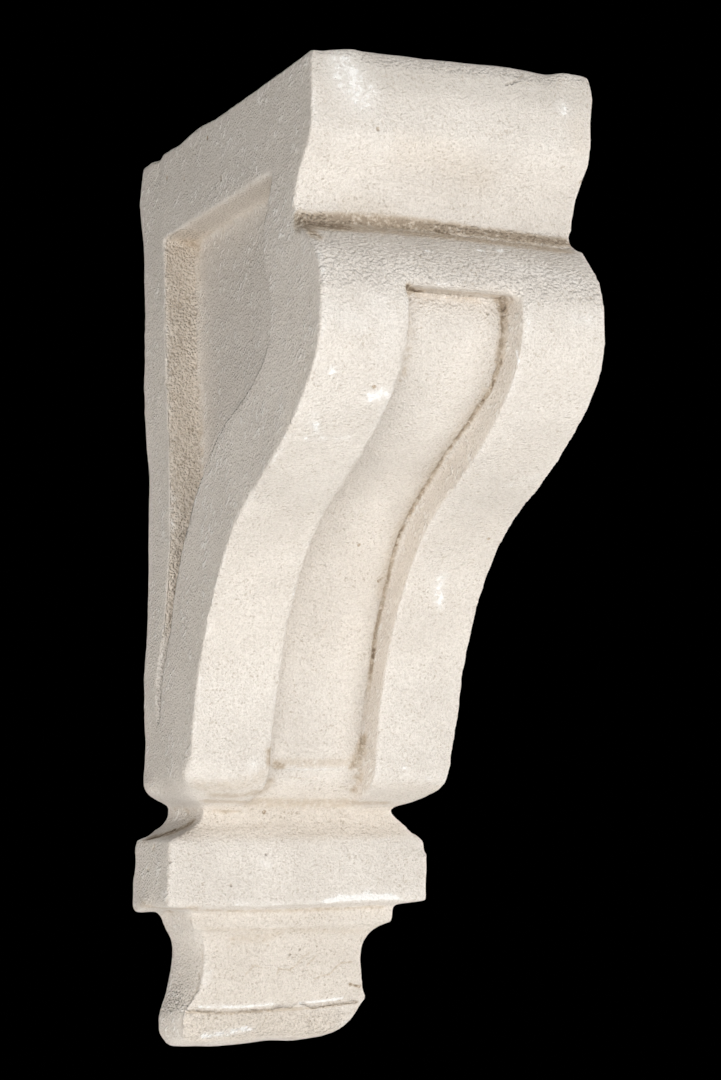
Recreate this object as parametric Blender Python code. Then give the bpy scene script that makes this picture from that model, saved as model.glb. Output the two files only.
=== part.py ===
"""Wall corbel (console bracket), cast in one piece in plaster.

Frame: metres, +Z up, X along the wall, -Y out of the wall. The flat back lies
in the plane y = 0, and the origin is the fixing point in the middle of it.
The solid is what two outlines have in common: the side outline, carried
across the width, and the front outline, carried out from the wall. Each
moulding then turns the corner by itself. A sunk channel in the front and a
sunk panel in each side are cut out of it.
A size named OUT is a distance from the wall, and one named DOWN is a depth
below the flat top.
"""
import math

import bmesh
import bpy
from mathutils import Vector

# Fixing point on the back
FIXING_DOWN = 0.170

# Body, from the top down: fascia, cove, quirk, nose, waist and toe
BODY_WIDTH = 0.145
TOP_OUT = 0.247
FASCIA_HEIGHT = 0.031
COVE_HEIGHT = 0.0435
QUIRK_OUT = 0.2245
NOSE_HEIGHT = 0.048
NOSE_OUT = 0.2595
NOSE_FULLNESS = 0.0305
WAIST_HEIGHT = 0.0755
WAIST_OUT = 0.1685
WAIST_TURN = math.radians(68)
WAIST_REACH = 0.044
SHANK_HEIGHT = 0.1245
TOE_OUT = 0.082
TOE_TURN = math.radians(10)
TOE_REACH = 0.0615
TOE_HEIGHT = 0.0245
TOE_SIDE_DROP = 0.0065

# Neck under the scroll, and the block under the neck
NECK_WIDTH = 0.106
NECK_OUT = 0.0455
NECK_HEIGHT = 0.003
SCOTIA_HEIGHT = 0.014
BLOCK_WIDTH = 0.146
BLOCK_OUT = 0.0505
BLOCK_HEIGHT = 0.0335
BLOCK_LIP = 0.0025

# Drop: fillet, hollow, bead line and foot
FILLET_WIDTH = 0.112
FILLET_OUT = 0.0425
FILLET_HEIGHT = 0.009
HOLLOW_WIDTH = 0.087
HOLLOW_OUT = 0.034
HOLLOW_HEIGHT = 0.017
BEAD_WIDTH = 0.101
BEAD_OUT = 0.0275
BEAD_HEIGHT = 0.024
FOOT_OUT = 0.014
FOOT_HEIGHT = 0.020
FOOT_LEFT = 0.045
FOOT_RIGHT = 0.022

# The cast is a little crooked: its lower end leans to the left and turns with
# it, and the side hollows run out shallower at the wall
LEAN = 0.0055
LEAN_TURN = math.radians(3)
HOLLOW_FILL = 0.25

# Sunk channel down the front, from above the nose to below the toe
CHANNEL_WIDTH = 0.058
CHANNEL_DEPTH = 0.016
CHANNEL_RISE = 0.0135
CHANNEL_DROP = 0.0025

# Sunk panel in each side: the margins that it leaves, and how far its corners
# stand above or below the scroll's
PANEL_DEPTH = 0.019
PANEL_TOP_MARGIN = 0.0465
PANEL_BACK_MARGIN = 0.0345
PANEL_LOW_MARGIN = 0.0435
PANEL_LOW_DROP = 0.002
PANEL_FRONT_MARGIN = 0.052
PANEL_QUIRK_MARGIN = 0.0415
PANEL_QUIRK_DROP = 0.0035
PANEL_NOSE_MARGIN = 0.0665
PANEL_NOSE_RISE = 0.0055
PANEL_WAIST_MARGIN = 0.0385
PANEL_WAIST_RISE = 0.039
PANEL_TOE_MARGIN = 0.055
PANEL_TOE_RISE = 0.0195
PANEL_TIP_WIDTH = 0.004

# How far a curve's handles pull, as a share of its run
LIGHT = 0.2
SOFT = 0.4
FULL = 0.6

# Pieces that a curve is cut into, how far a cutter stands clear, and the
# distance at which corners are one
LONG_CURVE = 28
CURVE = 14
SHORT_CURVE = 7
CLEAR = 0.010
WELD = 0.000001

PLASTER = (0.78, 0.73, 0.66, 1.0)

# A flat outline is drawn in x-y. It is turned to be a side view, with its
# thickness along X, or a front view, with its thickness along Y
SIDE_VIEW = (math.pi / 2, 0, math.pi / 2)
FRONT_VIEW = (math.pi / 2, 0, 0)

# Depths below the top, where each moulding begins or ends
QUIRK_DOWN = FASCIA_HEIGHT + COVE_HEIGHT
NOSE_DOWN = QUIRK_DOWN + NOSE_HEIGHT
WAIST_DOWN = NOSE_DOWN + WAIST_HEIGHT
TOE_DOWN = WAIST_DOWN + SHANK_HEIGHT
TOE_SIDE_DOWN = TOE_DOWN + TOE_SIDE_DROP
NECK_DOWN = TOE_DOWN + TOE_HEIGHT
NECK_END = NECK_DOWN + NECK_HEIGHT
BLOCK_DOWN = NECK_END + SCOTIA_HEIGHT
BLOCK_END = BLOCK_DOWN + BLOCK_HEIGHT
FILLET_DOWN = BLOCK_END + BLOCK_LIP
FILLET_END = FILLET_DOWN + FILLET_HEIGHT
HOLLOW_DOWN = FILLET_END + HOLLOW_HEIGHT
BEAD_DOWN = HOLLOW_DOWN + BEAD_HEIGHT
FOOT_DOWN = BEAD_DOWN + FOOT_HEIGHT
CHANNEL_TOP_DOWN = NOSE_DOWN - CHANNEL_RISE
CHANNEL_END_DOWN = TOE_DOWN + CHANNEL_DROP


def clear_scene():
    for thing in list(bpy.data.objects):
        bpy.data.objects.remove(thing, do_unlink=True)


def make_collection(name):
    collection = bpy.data.collections.new(name)
    bpy.context.scene.collection.children.link(collection)
    return collection


def plaster_material():
    material = bpy.data.materials.new("plaster")
    material.use_nodes = True
    shader = material.node_tree.nodes["Principled BSDF"]
    shader.inputs["Base Color"].default_value = PLASTER
    shader.inputs["Roughness"].default_value = 0.85
    shader.inputs["Metallic"].default_value = 0.0
    return material


def at(out, down):
    """A point of an outline: its distance from the wall or the middle, and its depth."""
    return Vector((-out, -down))


def turned(angle, length):
    """A step downwards, turned by angle towards the wall."""
    return Vector((math.sin(angle), -math.cos(angle))) * length


def bend(start, start_pull, end_pull, end, pieces):
    """A cubic curve's points without the first. It leaves along start_pull and arrives along end_pull."""
    points = []
    for piece in range(1, pieces + 1):
        t = piece / pieces
        s = 1 - t
        points.append(s ** 3 * start + 3 * s * s * t * (start + start_pull)
                      + 3 * s * t * t * (end - end_pull) + t ** 3 * end)
    return points


def hollow_bend(start, end, pieces):
    """A moulding's quarter curve: it leaves sideways and arrives going straight down."""
    run = end - start
    return bend(start, Vector((FULL * run.x, LIGHT * run.y)), Vector((0, FULL * run.y)), end, pieces)


def apron_bend(start, end, pieces, fullness=FULL):
    """The other quarter: it leaves going straight down and arrives sideways."""
    run = end - start
    return bend(start, Vector((0, fullness * run.y)), Vector((fullness * run.x, LIGHT * run.y)), end, pieces)


def scroll_line():
    """The big S of the front, from the quirk over the nose and the waist to the toe."""
    quirk = at(QUIRK_OUT, QUIRK_DOWN)
    nose = at(NOSE_OUT, NOSE_DOWN)
    waist = at(WAIST_OUT, WAIST_DOWN)
    toe = at(TOE_OUT, TOE_DOWN)
    rise = nose - quirk
    line = [quirk]
    line += bend(quirk, Vector((SOFT * rise.x, LIGHT * rise.y)), Vector((0, FULL * rise.y)), nose, CURVE)
    line += bend(nose, turned(0, NOSE_FULLNESS), turned(WAIST_TURN, WAIST_REACH), waist, LONG_CURVE)
    line += bend(waist, turned(WAIST_TURN, WAIST_REACH), turned(TOE_TURN, TOE_REACH), toe, LONG_CURVE)
    return line


def side_outline():
    """The whole side view, from the top of the back round to its foot."""
    fascia = at(TOP_OUT, FASCIA_HEIGHT)
    quirk = at(QUIRK_OUT, QUIRK_DOWN)
    hollow_drop = quirk.y - fascia.y
    toe = at(TOE_OUT, TOE_DOWN)
    neck = at(NECK_OUT, NECK_DOWN)

    line = [at(0, 0), at(TOP_OUT, 0), fascia]
    line += bend(fascia, Vector((0, SOFT * hollow_drop)), Vector((0, FULL * hollow_drop)), quirk, CURVE)
    line += scroll_line()[1:]
    line += apron_bend(toe, neck, CURVE)
    line.append(at(NECK_OUT, NECK_END))
    line += apron_bend(line[-1], at(BLOCK_OUT, BLOCK_DOWN), SHORT_CURVE)
    line.append(at(BLOCK_OUT, BLOCK_END))
    line.append(at(FILLET_OUT, FILLET_DOWN))
    line.append(at(FILLET_OUT, FILLET_END))
    line += hollow_bend(line[-1], at(HOLLOW_OUT, HOLLOW_DOWN), CURVE)
    line += apron_bend(line[-1], at(BEAD_OUT, BEAD_DOWN), SHORT_CURVE)
    line += apron_bend(line[-1], at(FOOT_OUT, FOOT_DOWN), CURVE)
    line.append(at(0, FOOT_DOWN))
    return line


def half_front_outline(foot, foot_fullness):
    """Half the front view, from above the top down to a foot of the given half width."""
    line = [at(BODY_WIDTH / 2, -CLEAR), at(BODY_WIDTH / 2, TOE_SIDE_DOWN)]
    line += apron_bend(line[-1], at(NECK_WIDTH / 2, NECK_DOWN), CURVE)
    line.append(at(NECK_WIDTH / 2, NECK_END))
    line += apron_bend(line[-1], at(BLOCK_WIDTH / 2, BLOCK_DOWN), CURVE, SOFT)
    line.append(at(BLOCK_WIDTH / 2, BLOCK_END))
    line.append(at(FILLET_WIDTH / 2, FILLET_DOWN))
    line.append(at(FILLET_WIDTH / 2, FILLET_END))
    line += hollow_bend(line[-1], at(HOLLOW_WIDTH / 2, HOLLOW_DOWN), CURVE)
    line += apron_bend(line[-1], at(BEAD_WIDTH / 2, BEAD_DOWN), SHORT_CURVE)
    line += apron_bend(line[-1], at(foot, FOOT_DOWN), CURVE, foot_fullness)
    line.append(at(foot, FOOT_DOWN + CLEAR))
    return line


def front_outline():
    """The whole front view. The foot's right corner is broken away, and its left one is only worn."""
    left = half_front_outline(FOOT_LEFT, FULL)
    right = [Vector((-point.x, point.y)) for point in half_front_outline(FOOT_RIGHT, LIGHT)]
    return left + right[::-1]


def channel_outline():
    """Side view of the channel's cutter: its floor runs a set depth inside the scroll."""
    line = scroll_line()
    floor = []
    for before, point, after in zip(line, line[1:], line[2:]):
        run = (after - before).normalized()
        inside = point + Vector((-run.y, run.x)) * CHANNEL_DEPTH
        if CHANNEL_TOP_DOWN < -inside.y < CHANNEL_END_DOWN:
            floor.append(inside)
    head = Vector((floor[0].x, -CHANNEL_TOP_DOWN))
    sill = Vector((floor[-1].x, -CHANNEL_END_DOWN))
    outer = NOSE_OUT + CLEAR
    return [at(outer, CHANNEL_TOP_DOWN), head] + floor + [sill, at(NECK_OUT, NECK_DOWN), at(outer, NECK_DOWN)]


def panel_outline():
    """The sunk side panel, whose front edge echoes the scroll."""
    front = at(TOP_OUT - PANEL_FRONT_MARGIN, PANEL_TOP_MARGIN)
    quirk = at(QUIRK_OUT - PANEL_QUIRK_MARGIN, QUIRK_DOWN + PANEL_QUIRK_DROP)
    nose = at(NOSE_OUT - PANEL_NOSE_MARGIN, NOSE_DOWN - PANEL_NOSE_RISE)
    waist = at(WAIST_OUT - PANEL_WAIST_MARGIN, WAIST_DOWN - PANEL_WAIST_RISE)
    tip = at(TOE_OUT - PANEL_TOE_MARGIN, TOE_DOWN - PANEL_TOE_RISE)
    tip_back = tip + Vector((PANEL_TIP_WIDTH, 0))
    low = at(PANEL_LOW_MARGIN, WAIST_DOWN + PANEL_LOW_DROP)
    back = at(PANEL_BACK_MARGIN, PANEL_TOP_MARGIN)
    line = [back, front]
    for corner in (quirk, nose):
        drop = Vector((0, SOFT * (corner.y - line[-1].y)))
        line += bend(line[-1], drop, drop, corner, SHORT_CURVE)
    drop = nose.y - waist.y
    line += bend(nose, turned(0, FULL * drop), turned(WAIST_TURN, FULL * drop), waist, CURVE)
    drop = waist.y - tip.y
    line += bend(waist, turned(WAIST_TURN, SOFT * drop), turned(TOE_TURN, SOFT * drop), tip, CURVE)
    rise = low.y - tip.y
    line.append(tip_back)
    line += bend(tip_back, turned(-TOE_TURN, -SOFT * rise), Vector((0, SOFT * rise)), low, SHORT_CURVE)
    return line


def solid_mesh(thing):
    """An object as it looks with its modifiers, as a closed mesh in world space."""
    bpy.context.view_layer.update()
    evaluated = thing.evaluated_get(bpy.context.evaluated_depsgraph_get())
    mesh = bpy.data.meshes.new_from_object(evaluated)
    mesh.transform(thing.matrix_world)
    shell = bmesh.new()
    shell.from_mesh(mesh)
    bmesh.ops.remove_doubles(shell, verts=shell.verts, dist=WELD)
    bmesh.ops.recalc_face_normals(shell, faces=shell.faces)
    shell.to_mesh(mesh)
    shell.free()
    return mesh


def plate(name, outline, thickness, turn, collection):
    """A flat outline given thickness, as a mesh object whose top is at its height over the fixing point."""
    curve = bpy.data.curves.new(name, 'CURVE')
    curve.dimensions = '2D'
    curve.fill_mode = 'BOTH'
    curve.extrude = thickness / 2
    spline = curve.splines.new('POLY')
    spline.points.add(len(outline) - 1)
    for slot, point in zip(spline.points, outline):
        slot.co = (point.x, point.y, 0, 1)
    spline.use_cyclic_u = True
    drawn = bpy.data.objects.new(name, curve)
    collection.objects.link(drawn)
    drawn.rotation_euler = turn
    drawn.location.z = FIXING_DOWN
    mesh = solid_mesh(drawn)
    bpy.data.objects.remove(drawn, do_unlink=True)
    solid = bpy.data.objects.new(name, mesh)
    collection.objects.link(solid)
    return solid


def cutter(name, outline, thickness, turn, collection):
    solid = plate(name, outline, thickness, turn, collection)
    solid.hide_render = True
    solid.display_type = 'WIRE'
    return solid


def combine(target, tool, operation):
    modifier = target.modifiers.new(tool.name, 'BOOLEAN')
    modifier.operation = operation
    modifier.object = tool
    modifier.solver = 'EXACT'


def share_between(value, start, end):
    return min(max((value - start) / (end - start), 0), 1)


def cast_crooked(mesh):
    """Under the scroll the side hollows fill up towards the wall, and the drop leans to the left."""
    for vertex in mesh.vertices:
        down = FIXING_DOWN - vertex.co.z
        if down > TOE_SIDE_DOWN:
            gap = max(BLOCK_WIDTH / 2 - abs(vertex.co.x), 0)
            near_wall = share_between(vertex.co.y, -FILLET_OUT, 0)
            vertex.co.x += math.copysign(gap * HOLLOW_FILL * near_wall, vertex.co.x)
        drop = share_between(down, BLOCK_DOWN, FOOT_DOWN)
        vertex.co.z += vertex.co.x * math.tan(LEAN_TURN) * drop
        vertex.co.x -= LEAN * drop


def make_blank(parts, cutters):
    """The corbel without its channel and panels, where side view and front view meet."""
    widest = max(BODY_WIDTH, BLOCK_WIDTH) + 2 * CLEAR
    deepest = 2 * (max(TOP_OUT, NOSE_OUT) + CLEAR)
    corbel = plate("corbel", side_outline(), widest, SIDE_VIEW, parts)
    front = cutter("front_view", front_outline(), deepest, FRONT_VIEW, cutters)
    combine(corbel, front, 'INTERSECT')
    blank = solid_mesh(corbel)
    cast_crooked(blank)
    corbel.modifiers.clear()
    corbel.data = blank
    return corbel


def cut_channel(corbel, cutters):
    channel = cutter("channel", channel_outline(), CHANNEL_WIDTH, SIDE_VIEW, cutters)
    combine(corbel, channel, 'DIFFERENCE')


def cut_panels(corbel, cutters):
    for side, name in ((-1, "panel_left"), (1, "panel_right")):
        panel = cutter(name, panel_outline(), PANEL_DEPTH + CLEAR, SIDE_VIEW, cutters)
        panel.location.x = side * (BODY_WIDTH - PANEL_DEPTH + CLEAR) / 2
        combine(corbel, panel, 'DIFFERENCE')


def build():
    clear_scene()
    parts = make_collection("wall_corbel")
    cutters = make_collection("cutters")
    corbel = make_blank(parts, cutters)
    cut_channel(corbel, cutters)
    cut_panels(corbel, cutters)
    corbel.data.materials.append(plaster_material())


build()
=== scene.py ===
# %% [markdown]
# The object is a wall corbel, the bracket that seems to carry a shelf or a cornice. It was cast in
# plaster in one piece: a scroll that swells under a square head, hollows inwards and comes down to a
# toe, with a channel down its front, a sunk panel in each cheek, and a moulded drop below. The packed
# solid has all of that at its true size, but with the flat faces and keen edges of a drawing. This
# lesson keeps its size and place and gives it the skin of an old casting.

# %% Load the solid
import math

import bmesh
import bpy
import numpy as np
from mathutils import Euler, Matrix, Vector, noise
from mathutils.bvhtree import BVHTree
from mathutils.kdtree import KDTree


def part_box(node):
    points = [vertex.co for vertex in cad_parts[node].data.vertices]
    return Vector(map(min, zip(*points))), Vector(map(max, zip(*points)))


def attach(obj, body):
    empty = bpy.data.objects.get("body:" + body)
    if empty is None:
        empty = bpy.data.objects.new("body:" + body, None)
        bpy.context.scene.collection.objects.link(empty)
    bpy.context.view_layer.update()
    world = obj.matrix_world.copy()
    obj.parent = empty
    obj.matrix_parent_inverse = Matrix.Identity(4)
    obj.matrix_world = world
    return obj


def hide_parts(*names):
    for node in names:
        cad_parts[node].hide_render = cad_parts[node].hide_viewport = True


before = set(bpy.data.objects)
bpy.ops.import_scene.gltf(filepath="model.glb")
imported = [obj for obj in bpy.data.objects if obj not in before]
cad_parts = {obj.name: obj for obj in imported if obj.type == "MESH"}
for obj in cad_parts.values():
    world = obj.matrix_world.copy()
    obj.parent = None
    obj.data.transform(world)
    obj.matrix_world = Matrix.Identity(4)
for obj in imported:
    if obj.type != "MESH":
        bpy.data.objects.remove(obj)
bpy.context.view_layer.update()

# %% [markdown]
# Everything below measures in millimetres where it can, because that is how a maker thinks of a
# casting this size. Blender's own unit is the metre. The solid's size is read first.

MM = 0.001
low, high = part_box("corbel")
print("solid, in mm: from", [round(v / MM, 1) for v in low], "to", [round(v / MM, 1) for v in high])

# %% [markdown]
# The camera comes first, because marks are placed by what it sees. A photograph of a box-like object
# gives the camera away: the three families of edges meet at three vanishing points, and those fix the
# direction of view and the lens. Here the camera stands left of the corbel and a little below its
# middle, looks slightly up, and has a long lens, so that the edges stay almost parallel.

# %% Set up the camera
PHOTO_WIDTH = 721
PHOTO_HEIGHT = 1080
CAMERA_PLACE = Vector((-0.52716, -1.38488, -0.19040))
CAMERA_TILT = 96.14
CAMERA_ROLL = 0.16
CAMERA_TURN = -22.79
LENS = 90.64
SENSOR = 36.0

camera_data = bpy.data.cameras.new("camera")
camera_data.lens = LENS
camera_data.sensor_width = SENSOR
camera = bpy.data.objects.new("camera", camera_data)
bpy.context.scene.collection.objects.link(camera)
camera.location = CAMERA_PLACE
camera.rotation_euler = Euler([math.radians(a) for a in (CAMERA_TILT, CAMERA_ROLL, CAMERA_TURN)])
bpy.context.scene.camera = camera
print("camera", round((CAMERA_PLACE - (low + high) / 2).length, 2), "m from the corbel's middle")

# %% [markdown]
# Scuffs, pinholes and chips are easiest to name by where the photograph shows them. A ray from the
# camera through that pixel meets the solid at one point, and that point is where the mark belongs on
# the real surface, so it stays put when the corbel is seen from another side.

# %% Find a place on the corbel from the photograph
PIXELS_PER_SLOPE = LENS / SENSOR * PHOTO_HEIGHT
HEAD_LEFT = (335, 70)
camera_turn = camera.rotation_euler.to_matrix()
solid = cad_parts["corbel"].data


def tree_of(mesh):
    """The mesh in a form that answers quickly where a ray meets it."""
    return BVHTree.FromPolygons([v.co for v in mesh.vertices], [f.vertices for f in mesh.polygons])


surface = tree_of(solid)


def seen(px, py):
    """The point of the surface, in mm, that the photograph shows at one of its pixels."""
    slope = Vector((px - PHOTO_WIDTH / 2, PHOTO_HEIGHT / 2 - py, -PIXELS_PER_SLOPE))
    hit = surface.ray_cast(CAMERA_PLACE, (camera_turn @ slope).normalized())[0]
    if hit is None:
        raise ValueError(f"the photograph shows nothing of the corbel at {px}, {py}")
    return np.array(hit) / MM


print("the head's left front corner is near", seen(*HEAD_LEFT).round(1), "mm")

# %% [markdown]
# Carving needs clay, which here is an even mesh of small faces. The Remesh modifier in its voxel mode
# pours the solid into a grid and skins it anew, whatever the faces were before. A grid of about one
# and a half millimetres is as fine as the relief that is carved below; finer grain than that is left
# to the material.

# %% Pour the solid into an even mesh
FINE_GRID = 1.45 * MM
GRID = FINE_GRID
WELD_GAP = 1e-6


def poured(mesh, size):
    """A new mesh of the same shape, with even faces about size across."""
    form = bpy.data.objects.new("form", mesh.copy())
    bpy.context.scene.collection.objects.link(form)
    weld = form.modifiers.new("weld", "WELD")
    weld.merge_threshold = WELD_GAP
    grid = form.modifiers.new("grid", "REMESH")
    grid.mode = "VOXEL"
    grid.voxel_size = size
    made = bpy.data.meshes.new_from_object(form.evaluated_get(bpy.context.evaluated_depsgraph_get()))
    bpy.data.objects.remove(form)
    return made


clay = poured(solid, GRID)
print("clay:", len(clay.vertices), "points")

# %% [markdown]
# The shaping is done with numpy, on all the points at once. A small class keeps the points in
# millimetres together with the two sums that every step needs: the normals, and the mean of each
# point's neighbours. Moving points towards that mean again and again is how edges wear round.

# %% Hold the skin's points
class Skin:
    """A mesh with its points in mm, and the sums that shape them."""

    def __init__(self, mesh):
        self.mesh = mesh
        flat = np.empty(len(mesh.vertices) * 3)
        mesh.vertices.foreach_get("co", flat)
        self.points = flat.reshape(-1, 3) / MM
        ends = np.empty(len(mesh.edges) * 2, int)
        mesh.edges.foreach_get("vertices", ends)
        self.starts, self.stops = ends.reshape(-1, 2).T
        self.neighbours = np.bincount(ends, minlength=len(mesh.vertices))[:, None]

    def relaxed(self, values, rounds, pull=0.5):
        """The values after each has moved towards the mean of its neighbours, in some rounds."""
        columns = values.reshape(len(values), -1)
        for _ in range(rounds):
            total = [
                np.bincount(self.starts, c[self.stops], len(c))
                + np.bincount(self.stops, c[self.starts], len(c))
                for c in columns.T
            ]
            columns = columns + (np.stack(total, 1) / self.neighbours - columns) * pull
        return columns.reshape(values.shape)

    def normals(self):
        """Each point's outward direction, on the mesh as its points now stand."""
        self.mesh.vertices.foreach_set("co", (self.points * MM).ravel())
        self.mesh.update()
        flat = np.empty(self.points.size)
        self.mesh.vertex_normals.foreach_get("vector", flat)
        return flat.reshape(-1, 3)

    def raise_by(self, amount):
        """Moves each point outwards by its own amount, in mm."""
        self.points = self.points + self.normals() * amount[:, None]


skin = Skin(clay)
skin.points = skin.relaxed(skin.points, 2)
print("skin:", len(skin.points), "points, with the grid's steps smoothed away")

# %% [markdown]
# Nothing in a hand-finished casting is quite straight. Noise makes that: a function of place that
# rises and falls smoothly, and that gives the same value each time, so the corbel comes out the same
# on every run. One helper gives noise of any size and seed, and a second one stretches it along a
# direction for brush marks. The others give a mark its soft edge, a soft band between two heights and
# a soft round spot.

# %% Make noise and soft edges
def mottle(points, size, seed, octaves=3):
    """Smooth noise between about -1 and 1 at each point, in bumps about size mm across."""
    start = Vector((seed * 13.7, seed * 5.3, seed * 9.1))
    return np.array([noise.fractal(Vector(p) / size + start, 1.0, 2.0, octaves) for p in points])


def streaks(points, along, size, length, seed):
    """Noise in strokes size mm wide and length mm long that run along a direction."""
    run = np.array(Vector(along).normalized())
    squeezed = points - np.outer(points @ run, run) * (1 - size / length)
    return mottle(squeezed, size, seed, 2)


def eased(value, start, stop):
    """0 before start and 1 after stop, with a soft rise between."""
    share = np.clip((value - start) / (stop - start), 0, 1)
    return share * share * (3 - 2 * share)


def band(value, start, stop, soft):
    """1 from start to stop, with a soft fall over soft mm on both sides."""
    return eased(value, start - soft, start) * (1 - eased(value, stop, stop + soft))


def between(heights, lower, upper, soft):
    """1 from the height seen at one pixel to the height seen at another, with a soft fall."""
    return band(heights, seen(*lower)[2], seen(*upper)[2], soft)


def spot(place, inner, outer):
    """1 on the skin within inner mm of a place, and 0 beyond outer mm."""
    return 1 - eased(np.linalg.norm(skin.points - place, axis=1), inner, outer)


example = mottle(skin.points[:2000], 60, 1)
print("noise runs from", round(example.min(), 2), "to", round(example.max(), 2))

# %% [markdown]
# Plaster wears from its arrises, which is the name for the edges where two faces meet. A copy of the
# skin is relaxed further, and the real skin moves part of the way to it. Flat faces hardly differ
# between the two, so only the edges and the creases change. The share moved varies along each arris,
# so that some stretches stay keen and others are rubbed.

# %% Wear the arrises
def rub(share, rounds):
    """Rounds the skin's edges: each point goes its own share of the way to a relaxed copy."""
    worn = skin.relaxed(skin.points, rounds)
    skin.points = skin.points + (worn - skin.points) * share[:, None]
    return round(float((np.linalg.norm(worn - skin.points, axis=1) * share).max()), 1)


patches = mottle(skin.points, 34, 11) + 0.5 * mottle(skin.points, 9, 12)
print("arrises worn by up to", rub(0.1 + 0.7 * eased(patches, -0.2, 0.6), 4), "mm")

# %% [markdown]
# Some places were rubbed much more. The head's top front arris is quite round, except near its two
# ends. The drop's left cheek has lost its steps and runs down in one curve. The front edge of the sunk
# panel is so soft that it hardly shows, and the lips of the quirk, of the neck and of the block are
# soft too. Each is a region of the skin, named by where it lies, and is rubbed in its own number of
# rounds.

# %% Say where the casting was rubbed
HEAD_RIGHT = (582, 92)
QUIRK_LIP = (340, 224)
CHANNEL_HEAD = (455, 288)
NECK_BELOW = (300, 808)
NECK_ABOVE = (300, 794)
TOE_LEFT = (194, 786)
BLOCK_TOP = (300, 843)
DROP_RIGHT = (361, 996)
ALONG_CHANNEL_HEAD = (0.12, 1, 1)

x, y, z = skin.points.T
facing = skin.normals()
head_top = eased(z, 146, 160) * eased(-y, 222, 236) * eased(x, -66, -40) * (1 - 0.9 * eased(x, 50, 60))
head_corner = spot(seen(*HEAD_RIGHT), 5, 15)
panel_corner = band(np.abs(x), 49, 56, 3) * band(y, -190, -28, 4) * eased(z, -150, -120)
drop_cheek = eased(-x, 30, 46) * band(z, -300, -234, 6) * (1 - eased(-facing[:, 1], 0.45, 0.8))
panel_front = eased(-x, 50, 53) * (1 - eased(-x, 66, 70)) * eased(-y, 88, 100) * eased(z, 20, 50)
quirk_height = seen(*QUIRK_LIP)[2]
lip = band(z, quirk_height - 3, quirk_height + 5, 3) * eased(-y, 190, 205)
block_height = seen(*BLOCK_TOP)[2]
block_edge = band(z, block_height - 4, block_height + 6, 3) * eased(x, -66, -54)
off_channel_head = (skin.points - seen(*CHANNEL_HEAD)) * ALONG_CHANNEL_HEAD
channel_head = 1 - eased(np.linalg.norm(off_channel_head, axis=1), 4, 9)
drop_corner = spot(seen(*DROP_RIGHT), 6, 14)
neck_top = between(z, NECK_BELOW, NECK_ABOVE, 2) * (1 - eased(np.abs(x), 48, 58))
print("points on the head's rubbed arris:", int((head_top > 0.5).sum()))

# %% Rub those places down
print("head's top arris:", rub(head_top, 150), "mm")
print("head's right corner:", rub(head_corner, 16), "mm")
print("quirk's lip:", rub(lip * 0.9, 26), "mm")
print("panel's inner corners:", rub(panel_corner * 0.9, 14), "mm")
print("drop's cheek:", rub(drop_cheek, 70), "mm")
print("panel's front edge:", rub(panel_front * 0.6, 20), "mm")
print("crease over the neck:", rub(neck_top * 0.9, 18), "mm")
toe_corner = spot(seen(*TOE_LEFT), 8, 26)
print("block's top edge:", rub(block_edge * 0.95, 30), "mm")
print("channel's top edge:", rub(channel_head * 0.95, 30), "mm")
print("toe's left corner:", rub(toe_corner, 120), "mm")
print("drop's right corner:", rub(drop_corner * 0.8, 16), "mm")

# %% [markdown]
# Three layers of noise lift and sink the whole skin: wide swells from a mould that was not quite
# true, smaller unevenness from the hand that smoothed it, and the first trace of grain.

# %% Make the faces uneven
SWELLS = [
    # height in mm, width in mm, seed
    (0.8, 75, 1),
    (0.3, 22, 2),
    (0.12, 5, 3),
]
swell = sum(height * mottle(skin.points, width, seed) for height, width, seed in SWELLS)
skin.raise_by(swell)
print("the faces rise and fall by", round(swell.std(), 2), "mm")

# %% [markdown]
# The mould itself was out of true. The left cheek bows in towards the wall side, the top is crowned
# behind its front arris, and the right cheek stands a little proud along the scroll. These are wide,
# soft movements, so a product of two or three soft bands says where each one acts.

# %% Lean and swell like the mould
x, y, z = skin.points.T
bow = 1.6 * band(z, -160, 20, 40) + 2.2 * band(z, -80, -5, 35)
left_by_the_wall = eased(y, -70, 0) * eased(-x, 20, 60)
proud = 1.4 * band(z, -130, 25, 25) * eased(x, 40, 70)
crown = 5.0 * eased(z, 140, 168) * eased(-y, 60, 200) * eased(x, -72, -48) * (1 - 0.4 * eased(x, 0, 60))
skin.points = skin.points + np.stack([bow * left_by_the_wall + proud, 0 * y, crown], 1)
print("left cheek bows by", round(float((bow * left_by_the_wall).max()), 1), "mm")

# %% [markdown]
# The rest is done as with a thumb in wet clay. A nudge takes the skin round one place and moves it as
# the camera sees it, so many millimetres to the right and so many up, fading out over its reach.
# Every nudge answers to one thing that the photograph shows on the corbel's outline.

# %% Nudge the outline
VIEW_RIGHT = np.array(camera_turn @ Vector((1, 0, 0)))
VIEW_UP = np.array(camera_turn @ Vector((0, 1, 0)))


def nudge(px, py, right, up, reach):
    """Moves the skin near the place seen at a pixel, by mm to the right and up as the camera sees it."""
    share = spot(seen(px, py), 0, reach)
    skin.points = skin.points + share[:, None] * (VIEW_RIGHT * right + VIEW_UP * up)


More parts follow.
